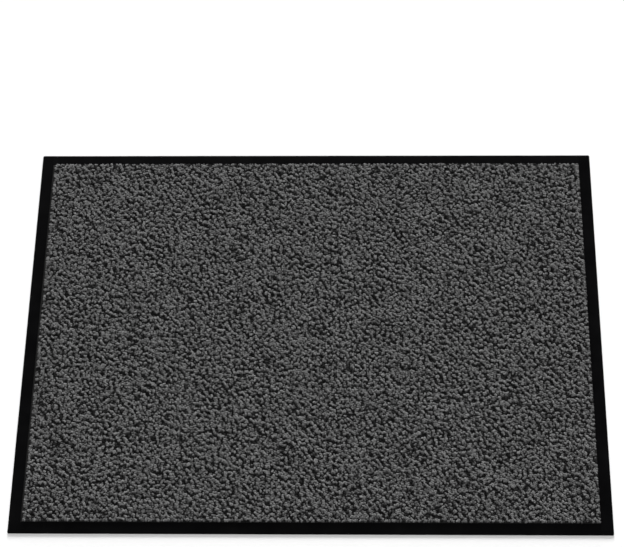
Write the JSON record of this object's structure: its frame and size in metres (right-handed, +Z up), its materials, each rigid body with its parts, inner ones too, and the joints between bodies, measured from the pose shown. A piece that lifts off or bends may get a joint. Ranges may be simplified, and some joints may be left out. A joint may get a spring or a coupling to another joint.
{
  "type": "door mat",
  "caption": "Rectangular door mat with mottled cut pile on a flexible vinyl backing, framed by flat vinyl border strips.",
  "frame": {"origin": "the middle of the underside, on the floor", "axes": "+X along the long side, +Y along the short side towards the back edge, +Z up through the pile"},
  "size_m": [1.2, 0.9, 0.0076],
  "materials": {
    "backing_vinyl": "matt black flexible vinyl, grip embossed on the underside",
    "border_vinyl": "satin black flexible vinyl, fine grained",
    "latex": "dull grey latex precoat",
    "woven_cloth": "plain-woven tape-yarn carrier cloth, dark grey",
    "pile_yarn": "cut pile of twisted two-ply yarn, anthracite mottled with mid grey"
  },
  "bodies": {
    "root": {"backing_sheet": "backing_vinyl", "border_left": "border_vinyl", "border_right": "border_vinyl", "border_front": "border_vinyl", "border_back": "border_vinyl", "precoat": "latex", "primary_cloth": "woven_cloth", "pile": "pile_yarn"}
  },
  "joints": []
}
